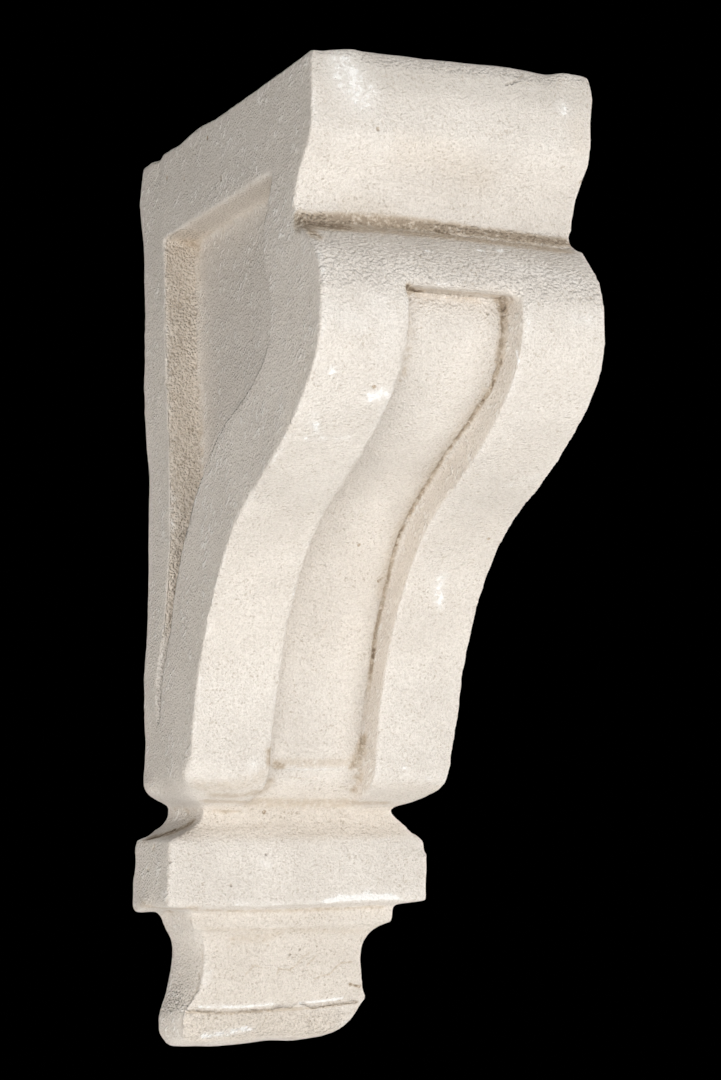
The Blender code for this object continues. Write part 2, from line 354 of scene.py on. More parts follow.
NUDGES = [
    # pixel across, pixel down, mm to the right, mm up, reach in mm
    # the head: its cheek's top edge, its back corner and its right corner
    (197, 140, 0, 1.8, 32), (158, 168, 1.6, -1.8, 12), (146, 205, -2.0, 0, 26),
    (586, 98, 2.0, 0.4, 13), (520, 73, 0, 1.2, 24),
    # the quirk: its lip curves up at the left
    (300, 215, 0, 1.2, 15), (335, 216, 0, 1.0, 15), (370, 217, 0, 1.0, 15), (405, 221, 0, 1.4, 15),
    (440, 226, 0, 1.6, 16), (475, 231, 0, 1.6, 16), (510, 236, 0, 1.4, 16), (545, 241, 0, 1.2, 15),
    (577, 250, 1.2, 0, 9),
    # the cheek by the wall, and the toe's back corner
    (146, 325, 0.7, 0, 50), (146, 740, 0.9, 0, 26), (150, 791, -3.0, 0, 15),
    (191, 782, -5.0, 0, 17),
    # the neck: hollow under the toe on the right, filled below it
    (389, 804, -2.0, 0, 9), (397, 828, 3.0, 0, 13),
    # the block: it leans out and down at its back
    (140, 870, -2.2, 0, 34), (140, 846, -1.0, 0, 12), (448, 763, 0, 1.5, 10), (140, 900, -1.0, -3.4, 20),
    (420, 844, -1.4, 0, 14), (410, 895, 1.5, 0, 12), (139, 904, -1.3, -0.5, 9),
    # the fillet and the drop
    (388, 912, 1.6, 0, 12), (146, 905, -2.4, 0, 12), (173, 986, -3.6, 0, 40), (355, 958, -1.2, 0, 20),
    # the foot: full at its broken right corner, lower along its edge
    (330, 1018, 3.2, -2.8, 22), (300, 1028, 1.2, -2.6, 22), (225, 1035, 0, -1.2, 34),
    (163, 1028, -2.4, -1.6, 18),
    (361, 996, -1.8, 0.4, 9),
]
for place in NUDGES:
    nudge(*place)
print("nudges:", len(NUDGES))

# %% [markdown]
# The cheeks were smoothed in slanting strokes, which left low ridges. The back wall of each sunk panel
# was only scraped: short gouges lie across it, deepest along its outer edge. Both are stretched
# noise, cut off below a level so that only its peaks or its pits are left. The neck was combed along
# its length, which shows as long low steps.

# %% Brush the cheeks and scrape the panels
x, y, z = skin.points.T
facing = skin.normals()
SIDE_STROKE = (0, -0.77, 0.64)
SCRAPE = (1, 0, 0.5)
COMBING = (1, 0, 0.05)
COMBED_BELOW = (300, 836)
COMBED_ABOVE = (300, 810)
on_cheek = eased(np.abs(facing[:, 0]), 0.6, 0.9)
ridges = eased(streaks(skin.points, SIDE_STROKE, 4.5, 15, 41), 0.0, 0.6)
skin.raise_by(0.32 * ridges * on_cheek * eased(mottle(skin.points, 40, 42), -0.4, 0.4))
on_wall = band(np.abs(x), 55, 71, 2) * eased(-facing[:, 1], 0.6, 0.9)
on_wall = on_wall * band(y, -60, -30, 4) * eased(z, -90, -60)
gouges = eased(streaks(skin.points, SCRAPE, 2.6, 7, 43), 0.12, 0.5)
outer = 0.3 + 0.7 * band(np.abs(x), 63, 68, 4)
skin.raise_by(-0.6 * gouges * on_wall * outer)
on_neck = between(z, COMBED_BELOW, COMBED_ABOVE, 2)
skin.raise_by(0.4 * streaks(skin.points, COMBING, 2.6, 40, 44) * on_neck)
print("points brushed:", int((on_cheek > 0.5).sum()), "and scraped:", int((on_wall > 0.5).sum()))

# %% [markdown]
# The mesh is now finer than it needs to be on the flat back and inside the faces. Decimate thins it
# where that shows least, which leaves room under the limit of 200,000 triangles for the fine marks.

# %% Thin the mesh
TRIANGLES = 124000


def thinned(mesh, triangles):
    """The same shape in about that many triangles."""
    form = bpy.data.objects.new("form", mesh)
    bpy.context.scene.collection.objects.link(form)
    mesh.calc_loop_triangles()
    thin = form.modifiers.new("thin", "DECIMATE")
    thin.ratio = min(1.0, triangles / len(mesh.loop_triangles))
    thin.use_collapse_triangulate = True
    made = bpy.data.meshes.new_from_object(form.evaluated_get(bpy.context.evaluated_depsgraph_get()))
    bpy.data.objects.remove(form)
    return made


skin.normals()
skin = Skin(thinned(clay, TRIANGLES))
surface = tree_of(skin.mesh)
print("skin:", len(skin.mesh.polygons), "triangles")

# %% [markdown]
# Fine marks are drawn as lines through places in the photograph, which now are looked up on the worn
# skin instead of the solid. A groove cuts along its line, and a tone colours along it. Both ask the
# same thing of every point: how far is it from the line?

# %% Draw lines on the skin
LINE_STEP = 9


def line(*pixels):
    """The places seen along a line through some pixels, close enough to hug the surface."""
    places = [seen(*pixels[0])]
    for (px, py), (next_px, next_py) in zip(pixels, pixels[1:]):
        steps = math.ceil(math.hypot(next_px - px, next_py - py) / LINE_STEP)
        for step in range(1, steps + 1):
            share = step / steps
            places.append(seen(px + (next_px - px) * share, py + (next_py - py) * share))
    return np.array(places)


def off_line(points, corners):
    """Each point's distance in mm to the nearest stretch of a line."""
    nearest = np.full(len(points), np.inf)
    for start, stop in zip(corners, corners[1:]):
        run = stop - start
        share = np.clip((points - start) @ run / (run @ run), 0, 1)
        nearest = np.minimum(nearest, np.linalg.norm(points - start - share[:, None] * run, axis=1))
    return nearest


CHANNEL_CREASE = line(
    (503, 297), (503, 331), (500, 363), (490, 390), (468, 424), (446, 454), (425, 488), (412, 510),
    (400, 534), (392, 561), (384, 596), (376, 631), (372, 663), (367, 700), (362, 742))
CHANNEL_TOP = line((408, 287), (440, 290), (475, 293), (503, 296))
QUIRK = line(
    (306, 221), (339, 221), (377, 224), (416, 229), (448, 232), (495, 238), (527, 242), (566, 247))
NECK_CREASE = line((206, 801), (236, 803), (262, 804), (300, 804), (340, 804), (384, 803))
SILL = line((278, 768), (300, 767), (325, 767), (350, 767))
SILL_COVE = line((280, 760), (315, 759), (352, 759))
BEAD = line(
    (188, 1009), (205, 1010), (230, 1011), (255, 1010), (270, 1008), (283, 1005), (290, 1006),
    (298, 1002), (305, 1003), (312, 1006), (325, 1004), (345, 1002), (357, 1000))
SILL_CRACK = line((290, 777), (300, 779), (310, 779), (318, 776))
HEAD_CRACK = line((506, 84), (513, 82), (519, 79), (524, 74))
CREVICE = line((149, 839), (160, 836), (174, 830))
DROP_CRACKS = [
    line((309, 953), (302, 958), (296, 965), (290, 970), (279, 969), (277, 975)),
    line((316, 956), (307, 965)),
    line((352, 962), (341, 963), (336, 967), (330, 974), (321, 976), (315, 979)),
    line((351, 984), (357, 986)),
    line((245, 975), (255, 965), (262, 968)),
]
crease_length = np.linalg.norm(np.diff(CHANNEL_CREASE, axis=0), axis=1).sum()
print("channel's crease:", round(float(crease_length)), "mm long")

# %% [markdown]
# Air bubbles in the wet plaster left pinholes, and knocks left small pits. They are placed one by one
# where the photograph shows them on this side, and strewn at random, with a fixed seed, on the others.

# %% Place the pinholes
SEEN_PITS = [
    # pixel across, pixel down, radius in mm
    # the left cheek
    (167, 178, 1.1), (184, 179, 0.9), (221, 177, 1.0), (221, 179, 1.0), (298, 128, 0.6), (304, 128, 0.6),
    (298, 153, 0.6), (307, 314, 0.6), (252, 339, 0.7), (284, 324, 0.6), (285, 339, 0.7), (300, 338, 0.6),
    (154, 846, 0.9), (153, 849, 0.8), (148, 870, 0.8), (170, 862, 0.7),
    # the head, the scroll and the channel
    (378, 129, 0.9), (488, 313, 0.6), (473, 284, 0.6), (374, 387, 1.0), (359, 545, 0.9), (323, 566, 0.6),
    (354, 514, 0.6), (361, 514, 0.6), (379, 581, 1.0), (382, 579, 0.9), (375, 686, 0.7),
    # the neck, the block and the drop
    (264, 812, 1.0), (360, 824, 0.6), (340, 812, 0.6), (384, 804, 0.7), (266, 854, 0.6), (231, 885, 0.7),
    (290, 954, 0.7), (300, 949, 0.6), (218, 928, 0.6), (219, 934, 0.6), (213, 940, 0.6), (216, 947, 0.6),
    (229, 947, 0.6), (243, 938, 0.6), (253, 930, 0.6), (258, 936, 0.7), (263, 941, 0.7), (268, 945, 0.7),
    (256, 945, 0.6), (277, 934, 0.7), (273, 931, 0.6), (303, 970, 0.6), (293, 932, 0.6), (309, 930, 0.6),
    (317, 946, 0.6),
]
pits = [(seen(px, py), radius) for px, py, radius in SEEN_PITS]
HIDDEN_PITS = 46
chance = np.random.default_rng(7)
hidden = np.flatnonzero((skin.points[:, 0] > 60) | (skin.points[:, 1] > -4) | (skin.points[:, 2] > 160))
for number in chance.choice(hidden, HIDDEN_PITS, replace=False):
    pits.append((skin.points[number], chance.uniform(0.5, 1.1)))
print("pits:", len(pits))

# %% [markdown]
# A pit of one millimetre is smaller than a face of the mesh. So the long edges near each pit and each
# fine line are cut in thirds first, the longest in a wide round and then the rest in a narrow one.
# That gives sharp small marks without a fine mesh everywhere.

# %% Split the faces where fine marks go
ROUNDS = [
    # reach from a mark in mm, longest edge that is left whole in mm
    (3.0, 2.6),
    (1.6, 1.0),
]
FINE_LINES = [CHANNEL_CREASE, CHANNEL_TOP, QUIRK, NECK_CREASE, SILL, BEAD, SILL_CRACK, HEAD_CRACK]
FINE_LINES += [CREVICE, *DROP_CRACKS]


def split_near(mesh, wanted, longest):
    """Cuts in thirds each edge over longest mm that has a wanted point, and leaves triangles."""
    form = bmesh.new()
    form.from_mesh(mesh)
    form.verts.ensure_lookup_table()
    edges = [e for e in form.edges if e.calc_length() > longest * MM]
    edges = [e for e in edges if wanted[e.verts[0].index] or wanted[e.verts[1].index]]
    bmesh.ops.subdivide_edges(form, edges=edges, cuts=2, use_grid_fill=True)
    bmesh.ops.triangulate(form, faces=[f for f in form.faces if len(f.verts) > 3])
    form.to_mesh(mesh)
    form.free()


pit_tree = KDTree(len(pits))
for number, (place, radius) in enumerate(pits):
    pit_tree.insert(place, number)
pit_tree.balance()
for reach, longest in ROUNDS:
    wanted = np.array([pit_tree.find(p)[2] < reach for p in skin.points])
    for corners in FINE_LINES:
        wanted |= off_line(skin.points, corners) < reach
    split_near(skin.mesh, wanted, longest)
    skin = Skin(skin.mesh)
print("skin:", len(skin.mesh.polygons), "triangles")

# %% [markdown]
# Now the marks are cut. A groove's depth wavers along its length, as a scraper's does, and fades at
# its two ends. A pit is a small round hollow.

# %% Cut the grooves and the pits
waver = mottle(skin.points, 7, 31, 2)
jag = mottle(skin.points, 2.2, 32, 2)


def groove(corners, half_width, depth, raggedness):
    """Cuts along a line, depth mm deep in its middle."""
    away = off_line(skin.points, corners) + raggedness * half_width * jag
    skin.raise_by(-depth * (1 - eased(away, 0, half_width)) * (0.8 + 0.5 * waver))


GROOVES = [
    # line, half width in mm, depth in mm (a ridge where it is below 0), raggedness
    (CHANNEL_CREASE, 1.8, 1.0, 0.3),
    (CHANNEL_TOP, 1.3, 0.25, 0.3),
    (CREVICE, 2.0, 1.0, 0.1),
    (QUIRK, 4.0, 1.6, 0),
    (NECK_CREASE, 3.0, 0.3, 0.3),
    (SILL, 2.6, -0.7, 0.3),
    (SILL_COVE, 4.0, 0.6, 0.3),
    (BEAD, 1.3, 1.2, 0.4),
    (SILL_CRACK, 0.7, 0.5, 0.3),
    (HEAD_CRACK, 0.8, 0.6, 0.3),
    *[(crack, 0.7, 0.18, 0.3) for crack in DROP_CRACKS],
]
for mark in GROOVES:
    groove(*mark)
for place, radius in pits:
    skin.raise_by(-1.1 * radius * spot(place, 0.2 * radius, 1.15 * radius))
near_quirk = 1 - eased(off_line(skin.points, QUIRK), 3, 8)
print("quirk smoothed by", rub(near_quirk, 12), "mm")
print("grooves:", len(GROOVES))

# %% [markdown]
# The material has to know where the surface is hollow, where it sticks out and which way it faces,
# because dirt, chalky wear and dust gather there, and painted shade and painted highlights go there
# too. Those are worked out once, here, and written on the mesh as attributes that the material's
# nodes read.

# %% Measure hollows and arrises
facing = skin.normals()
cheek = eased(np.abs(facing[:, 0]), 0.5, 0.9)
in_front = eased(-facing[:, 1], 0.2, 0.6) * (1 - cheek)
sunk_fine = ((skin.relaxed(skin.points, 5) - skin.points) * facing).sum(1)
sunk_wide = ((skin.relaxed(skin.points, 30) - skin.points) * facing).sum(1)
patchy = mottle(skin.points, 16, 21)
x, y, z = skin.points.T


def write_attribute(name, values):
    """Writes one number a point on the mesh, for the material to read."""
    layer = skin.mesh.attributes.new(name, "FLOAT", "POINT")
    layer.data.foreach_set("value", np.clip(values, 0, 1).astype(np.float32))
    print(name, "has a mean of", round(float(np.clip(values, 0, 1).mean()), 3))


def tone(corners, half_width):
    """1 on a line and 0 from half_width mm away, with a ragged soft edge."""
    ragged = off_line(skin.points, corners) + 0.16 * min(half_width, 2.5) * jag
    return 1 - eased(ragged, 0.2 * half_width, half_width)


def marked(share, marks):
    """The share, raised along each mark's pixels to the mark's own strength."""
    for pixels, half_width, strength in marks:
        share = np.maximum(share, tone(line(*pixels), half_width) * strength)
    return share


# %% [markdown]
# Dirt stays where a cloth doesn't reach it: in hollows, in creases and in pinholes. The same browns
# also paint the shade that falls in the hollows and creases, under the overhang of the head and under
# the lips of the mouldings. The wide hollows find themselves, from how far the skin sinks below its
# own smoothed copy. The marks that are this casting's own, dirt and painted shade, are listed with
# their pixels.

# %% List the dirt and the painted shade
DIRT_AND_SHADE = [
    # (pixels along the middle of the mark), half width in mm, strength
    # the channel's top, its corners and its crease
    (((408, 288), (440, 291), (475, 294), (503, 297)), 5.0, 0.3),
    (((407, 288), (416, 291)), 3.0, 0.85),
    (((499, 299), (504, 302), (503, 310)), 4.5, 0.55),
    (((410, 291), (440, 294), (476, 298)), 6.0, 0.26),
    (((503, 300), (504, 330), (499, 362)), 4.0, 0.4),
    # painted shadow of the left wall along the channel's left edge
    (((409, 300), (409, 350), (402, 380)), 2.5, 0.3),
    (((486, 390), (441, 454), (395, 534), (379, 596)), 4.0, 0.22),
    # the quirk: dirt, and painted shade under its lip
    (((302, 220), (318, 224), (345, 227)), 8.0, 0.7),
    (((437, 230), (450, 232)), 3.0, 0.8),
    (((301, 217), (307, 226), (316, 236)), 5.0, 0.6),
    (((300, 217), (377, 221), (448, 228), (566, 243)), 6.0, 0.6),
    (((300, 226), (377, 230), (448, 236), (566, 250)), 7.0, 0.44),
    # the sill and the channel's foot
    (((269, 752), (270, 763), (281, 766)), 4.0, 0.5),
    (((283, 763), (315, 763), (350, 762)), 4.5, 0.26),
    (((364, 738), (358, 757), (352, 766)), 4.0, 0.5),
    (((359, 762), (361, 780)), 3.0, 0.36),
    (((355, 776), (360, 779)), 1.6, 0.5),
    # painted shade under the toe's tongue and on the toe's underside
    (((212, 795), (240, 796), (262, 790), (270, 780)), 5.0, 0.36),
    (((198, 786), (236, 786), (262, 776)), 9.0, 0.22),
    # the neck's crease and the crevice over the block's left end, both painted shadow, then the block's
    # lower edge
    (((206, 801), (236, 802), (300, 803), (384, 803)), 5.5, 0.34),
    (((150, 838), (163, 835), (177, 831), (190, 824)), 6.5, 0.6),
    (((142, 905), (160, 908), (178, 909), (196, 908)), 4.0, 0.34),
    # the drop: above the fillet, painted shade below it and under the bead, and the broken edge
    (((192, 910), (240, 911), (300, 910), (384, 907)), 1.8, 0.36),
    (((205, 930), (290, 930), (365, 931)), 3.5, 0.2),
    (((188, 1012), (230, 1013), (270, 1010), (312, 1008), (357, 1002)), 1.8, 0.36),
    (((350, 984), (360, 987)), 1.2, 0.7),
    (((236, 938), (262, 938), (280, 932)), 6.0, 0.22),
]
print("dirt marks:", len(DIRT_AND_SHADE))

# %% Work out where dirt and painted shade lie
CLEAN_BELOW = (300, 842)
CLEAN_ABOVE = (300, 828)
clean_ledge = in_front * between(z, CLEAN_BELOW, CLEAN_ABOVE, 2)
# dirt, and painted shade, in the fine and the wide hollows
grime_and_shade = eased(sunk_fine, 0.14, 0.7) * 0.4 + eased(sunk_wide, 0.6, 2.4) * 0.2
grime_and_shade = grime_and_shade * (1 - 0.8 * clean_ledge)
crease_strength = 0.18 + 0.52 * band(z, -105, 60, 30) + 0.15 * patchy
grime_and_shade = np.maximum(grime_and_shade, tone(CHANNEL_CREASE, 1.8) * crease_strength)
# painted shadow in the crevice over the block's left end
grime_and_shade = np.maximum(grime_and_shade, tone(CREVICE, 3.0))
grime_and_shade = marked(grime_and_shade, DIRT_AND_SHADE)
for crack in [SILL_CRACK, HEAD_CRACK, *DROP_CRACKS]:
    grime_and_shade = np.maximum(grime_and_shade, tone(crack, 0.8) * 0.34)
for place, radius in pits:
    grime_and_shade = np.maximum(grime_and_shade, (1.6 * radius - 0.6) * spot(place, 0.5 * radius, 1.5 * radius))
write_attribute("grime_and_shade", grime_and_shade)

# %% [markdown]
# Bare plaster is warmer and browner than the worn skin over it. It shows on the scraped walls of the
# panels, round the quirk and in soft bands round the neck and the drop, and it is rougher there. The
# same warm brown paints shade under the quirk's lip and under the toe. Grey goes on everything that
# faces up, partly dust and partly painted shade, and the head's rounded top arris gets painted shade.

# %% Work out where the plaster is bare
BARE_AND_SHADE_MARKS = [
    # (pixels along the middle of the mark), half width in mm, strength
    # under the quirk's lip: bare plaster and painted shade
    (((303, 226), (400, 228), (450, 235), (560, 249)), 6, 0.6),
    (((400, 150), (440, 152), (480, 176)), 14, 0.34),
    (((348, 204), (388, 212)), 8, 0.34),
    (((576, 124), (580, 146)), 8, 0.34),
    (((240, 1028), (290, 1022)), 8, 0.34),
    (((310, 352), (298, 385), (287, 425)), 5.0, 0.6),
]
BARE_AND_SHADE_BANDS = [
    # lowest pixel and highest pixel of the band, strength
    # under the toe: painted shade
    ((290, 801), (290, 788), 0.3),
    ((290, 834), (290, 808), 0.55),
    ((290, 1000), (290, 914), 0.4),
    ((290, 1035), (290, 1013), 0.7),
]
WAIST_BELOW = (300, 640)
WAIST_ABOVE = (300, 470)

in_panel = eased(np.abs(x), 50, 54) * (1 - eased(np.abs(x), 70, 73)) * (1 - cheek)
back_wall = band(y, -60, -30, 4) * band(z, -150, 130, 20)
top_wall = eased(-facing[:, 2], 0.3, 0.6) * band(y, -185, -30, 4) * eased(z, 90, 100)
bare_and_shade = in_panel * np.maximum(back_wall, 0.6 * top_wall)
# the cheeks are made warmer and darker
bare_and_shade = np.maximum(bare_and_shade, 0.4 * cheek)
waist = between(z, WAIST_BELOW, WAIST_ABOVE, 30) * in_front
bare_and_shade = np.maximum(bare_and_shade, 0.2 * waist * (0.8 + 0.4 * patchy))
bare_and_shade = marked(bare_and_shade, BARE_AND_SHADE_MARKS)
uneven = z + 2.5 * patchy
for lower, upper, strength in BARE_AND_SHADE_BANDS:
    bare_and_shade = np.maximum(bare_and_shade, between(uneven, lower, upper, 5) * in_front * strength)
write_attribute("bare_and_shade", bare_and_shade)

# %% Work out where it is dusty, shaded or rough
LEDGE_BELOW = (300, 848)
LEDGE_ABOVE = (300, 826)
NECK_TOP = (300, 808)
BULGE_BELOW = (330, 275)
BULGE_ABOVE = (330, 232)
FOOT_BELOW = (290, 1035)
FOOT_ABOVE = (290, 1013)

ledge = between(z, LEDGE_BELOW, LEDGE_ABOVE, 2)
# grey on what faces up: dust, and painted shade; on the cheeks it grows towards their top
dust_and_shade = eased(facing[:, 2], 0.5, 0.95) * (0.8 + 0.2 * patchy) * (1 - 0.8 * ledge)
dust_and_shade = dust_and_shade + 0.7 * cheek * eased(z, 50, 150)
# painted shade on the head's rounded top arris
head_top_shade = 1.1 * eased(-facing[:, 1], 0.1, 0.4) * eased(z + 2 * patchy, 148, 162) * (1 - cheek)
dust_and_shade = np.maximum(dust_and_shade, head_top_shade)
neck = between(z, LEDGE_BELOW, NECK_TOP, 2)
rough = np.maximum(eased(facing[:, 2], 0.05, 0.4) * (1 - neck), 0.7 * (bare_and_shade > 0.6))
rough = np.maximum(rough, between(z, BULGE_BELOW, BULGE_ABOVE, 5) * in_front)
rough = np.maximum(rough, 0.8 * between(z, FOOT_BELOW, FOOT_ABOVE, 2) * in_front)
write_attribute("dust_and_shade", dust_and_shade)
write_attribute("rough", rough)
write_attribute("cheek", cheek)

# %% [markdown]
# White shows where something scraped or rubbed the skin off, and thinly along the keen arrises, which
# every hand and rag touches. The arrises find themselves, as the hollows did, and the scuffs are
# listed with their pixels. The same white paints highlights along the sill's edge and along the top
# of the bead.

# %% Add the white scuffs and the painted highlights
SCUFFS_AND_HIGHLIGHTS = [
    # (pixels along the middle of the mark), half width in mm, strength
    # the head and the quirk
    (((343, 68), (362, 94)), 15, 0.5),
    (((562, 105), (565, 110)), 5, 0.45),
    (((380, 124), (386, 150)), 9, 0.2),
    (((284, 78), (278, 91), (272, 103)), 1.0, 0.6),
    # the bulge of the scroll
    (((420, 251), (428, 251)), 1.2, 0.9),
    (((476, 249), (486, 252)), 1.2, 0.9),
    (((498, 251), (505, 250)), 1.0, 0.9),
    (((500, 264), (545, 272), (580, 284)), 7, 0.22),
    (((325, 305), (345, 318), (362, 325)), 7, 0.3),
    (((378, 302), (390, 330), (384, 352)), 8, 0.24),
    (((575, 318), (592, 322)), 5, 0.3),
    (((517, 350), (518, 363)), 1.6, 0.8),
    (((372, 397), (382, 394)), 6, 0.7),
    (((326, 372), (334, 370)), 3.5, 0.6),
    (((314, 413), (318, 440)), 3, 0.5),
    (((284, 436), (312, 438), (350, 438)), 1.6, 0.55),
    # the shank and the toe
    (((508, 486), (538, 476)), 3.5, 0.3),
    (((442, 576), (438, 592), (442, 607)), 3.8, 0.68),
    (((435, 751), (430, 768), (428, 783)), 1.0, 0.6),
    (((404, 767), (405, 768)), 1.6, 0.7),
    (((254, 762), (253, 772)), 4.5, 0.45),
    # painted highlight along the sill's edge
    (((280, 769), (310, 769), (345, 769)), 1.8, 0.45),
    # the block and the drop
    (((378, 841), (390, 840)), 0.9, 0.6),
    (((262, 862), (268, 866)), 2.5, 0.5),
    (((326, 901), (360, 897), (397, 897)), 2.4, 1.0),
    # painted highlights along the top of the bead
    (((200, 1007), (240, 1007), (272, 1004)), 1.6, 0.6),
    (((300, 1003), (325, 1001), (342, 998)), 1.5, 0.75),
    (((205, 1036), (228, 1033), (248, 1029)), 3.6, 0.6),
]
chalk_and_highlight = eased(-sunk_fine, 0.08, 0.4) * eased(patchy, 0.0, 0.5) * 0.4 * (1 - cheek)
chalk_and_highlight = marked(chalk_and_highlight, SCUFFS_AND_HIGHLIGHTS)
write_attribute("chalk_and_highlight", chalk_and_highlight)

# %% [markdown]
# The finish is one procedural material, which is a net of nodes. A few helpers make a node, give it
# its values and hand on its result, so that the recipe itself stays short to read.

# %% Add nodes with less typing
def add_node(tree, kind, sockets=None, **settings):
    """Adds a node with its settings, and gives each named or numbered socket a value or a link."""
    made = tree.nodes.new("ShaderNode" + kind)
    for name, value in settings.items():
        setattr(made, name, value)
    for name, value in (sockets or {}).items():
        if isinstance(value, bpy.types.NodeSocket):
            tree.links.new(value, made.inputs[name])
        else:
            made.inputs[name].default_value = value
    return made


def grains(tree, where, per_metre, detail=2.0):
    """Noise in grains of 1 / per_metre, from 0 to 1."""
    sockets = {"Vector": where, "Scale": per_metre, "Detail": detail, "Roughness": 0.6}
    return add_node(tree, "TexNoise", sockets).outputs["Fac"]


def spread(tree, value, start, stop, least=0.0, most=1.0):
    """Runs softly from least where value is below start to most where it is above stop."""
    sockets = {"Value": value, "From Min": start, "From Max": stop, "To Min": least, "To Max": most}
    return add_node(tree, "MapRange", sockets, interpolation_type="SMOOTHSTEP").outputs["Result"]


def times(tree, a, b):
    """One value times another."""
    return add_node(tree, "Math", {0: a, 1: b}, operation="MULTIPLY").outputs[0]


def plus(tree, value, share, amount):
    """A value with so much of some share added."""
    return add_node(tree, "Math", {0: share, 1: amount, 2: value}, operation="MULTIPLY_ADD").outputs[0]


def over(tree, share, under, top):
    """The colour top laid over the colour under, as thickly as share says."""
    mix = add_node(tree, "Mix", {0: share, 6: under, 7: top}, data_type="RGBA")
    return mix.outputs[2]


def written(tree, name):
    """An attribute that was written on the mesh."""
    return add_node(tree, "Attribute", attribute_name=name).outputs["Fac"]


# %% [markdown]
# The plaster's colour starts from two tones in soft clouds. Over them come the warm tone of bare
# plaster, grey dust, darker sand, freckles in the pores and pale slanting strokes on the cheeks, which
# are noise squeezed in a frame that is turned along the stroke. The pale of the strokes is painted
# highlight where the cheeks' ridges catch light, the bare tone and the grey also paint shade, and the
# white also paints highlights. White where the skin was rubbed and brown where dirt lies and where
# shade is painted come last. Each grain is given by how many go to the metre.

# %% Mix the plaster
STROKE_TURN = (math.radians(50), 0, 0)
STROKE_STRETCH = (1, 1, 2.2)
CLOUDS = 24
STROKE_CLOUDS = 45
FRECKLE_CLOUDS = 60
LUMPS = 130
RUBBED_GRAIN = 300
GLOSS_GRAIN = 300
DIRT_AND_SHADE_GRAIN = 420
STROKE_GRAIN = 520
ORANGE_PEEL = 640
PORE_GRAIN = 760
SAND_GRAIN = 1000
PLASTER = (0.84, 0.782, 0.715, 1)
PLASTER_GREY = (0.77, 0.712, 0.648, 1)
BARE_AND_SHADE = (0.72, 0.61, 0.49, 1)
SAND = (0.48, 0.42, 0.355, 1)
FRECKLE = (0.46, 0.38, 0.29, 1)
DUST_AND_SHADE = (0.53, 0.49, 0.44, 1)
CHALK_AND_HIGHLIGHT = (0.93, 0.905, 0.87, 1)
STROKE_HIGHLIGHT = (0.90, 0.855, 0.79, 1)
STAIN_AND_SHADE = (0.53, 0.42, 0.30, 1)
GRIME_AND_SHADE = (0.21, 0.155, 0.105, 1)

plaster = bpy.data.materials.new("aged_plaster")
plaster.use_nodes = True
tree = plaster.node_tree
shader = tree.nodes["Principled BSDF"]
shader.inputs["Specular IOR Level"].default_value = 0.2
where = add_node(tree, "TexCoord").outputs["Object"]
cheek_share = written(tree, "cheek")

clouds = spread(tree, grains(tree, where, CLOUDS, 4.0), 0.35, 0.65)
colour = over(tree, clouds, PLASTER, PLASTER_GREY)
# the bare plaster's warm tone also paints shade, and the grey dust also paints shade on what faces up
colour = over(tree, times(tree, written(tree, "bare_and_shade"), 0.6), colour, BARE_AND_SHADE)
colour = over(tree, times(tree, written(tree, "dust_and_shade"), 0.5), colour, DUST_AND_SHADE)
sand = grains(tree, where, SAND_GRAIN, 1.0)
colour = over(tree, spread(tree, sand, 0.64, 0.36, 0.0, 0.3), colour, SAND)
pores = grains(tree, where, PORE_GRAIN, 1.0)
freckle_clouds = grains(tree, where, FRECKLE_CLOUDS, 3.0)
freckle_clouds = spread(tree, freckle_clouds, 0.35, 0.65, 0.25, 1.0)
freckle_clouds = plus(tree, freckle_clouds, written(tree, "rough"), 0.2)
freckle_clouds = plus(tree, freckle_clouds, written(tree, "bare_and_shade"), 0.6)
freckles = spread(tree, pores, 0.42, 0.28, 0.0, 0.6)
colour = over(tree, times(tree, freckles, freckle_clouds), colour, FRECKLE)
stroked = {"Vector": where, "Rotation": STROKE_TURN, "Scale": STROKE_STRETCH}
stroked = add_node(tree, "Mapping", stroked, vector_type="TEXTURE").outputs["Vector"]
strokes = times(tree, spread(tree, grains(tree, stroked, STROKE_GRAIN, 1.0), 0.52, 0.64), cheek_share)
stroke_clouds = grains(tree, where, STROKE_CLOUDS, 2.0)
strokes = times(tree, strokes, spread(tree, stroke_clouds, 0.42, 0.62, 0.1, 1.0))
# the pale strokes are painted highlight on the cheeks' ridges
colour = over(tree, times(tree, strokes, 0.8), colour, STROKE_HIGHLIGHT)
rubbed_white_and_highlight = plus(tree, written(tree, "chalk_and_highlight"), grains(tree, where, RUBBED_GRAIN, 3.0), 1.6)
# white wear, which also paints the highlights on the sill's edge and the bead
colour = over(tree, times(tree, written(tree, "chalk_and_highlight"), 0.6), colour, CHALK_AND_HIGHLIGHT)
colour = over(tree, spread(tree, rubbed_white_and_highlight, 1.2, 1.45, 0.0, 0.9), colour, CHALK_AND_HIGHLIGHT)
# brown dirt, which also paints the shade in hollows, in creases and under the lips
dirt_and_shade = spread(tree, grains(tree, where, DIRT_AND_SHADE_GRAIN), 0.25, 0.55, 0.45, 1.15)
dirt_and_shade = times(tree, written(tree, "grime_and_shade"), dirt_and_shade)
colour = over(tree, spread(tree, dirt_and_shade, 0.0, 0.6, 0.0, 0.75), colour, STAIN_AND_SHADE)
colour = over(tree, spread(tree, dirt_and_shade, 0.35, 1.0), colour, GRIME_AND_SHADE)
tree.links.new(colour, shader.inputs["Base Color"])
gloss = spread(tree, grains(tree, where, GLOSS_GRAIN), 0.2, 0.8, 0.78, 0.98)
tree.links.new(gloss, shader.inputs["Roughness"])
print("plaster's colour:", len(tree.nodes), "nodes")

# %% [markdown]
# Bump is added up in millimetres. The same sand and pores that were dark in the colour are dips in the
# bump. Round cells add an orange peel where the plaster is rough, and wide lumps and the cheeks'
# strokes are added to them.

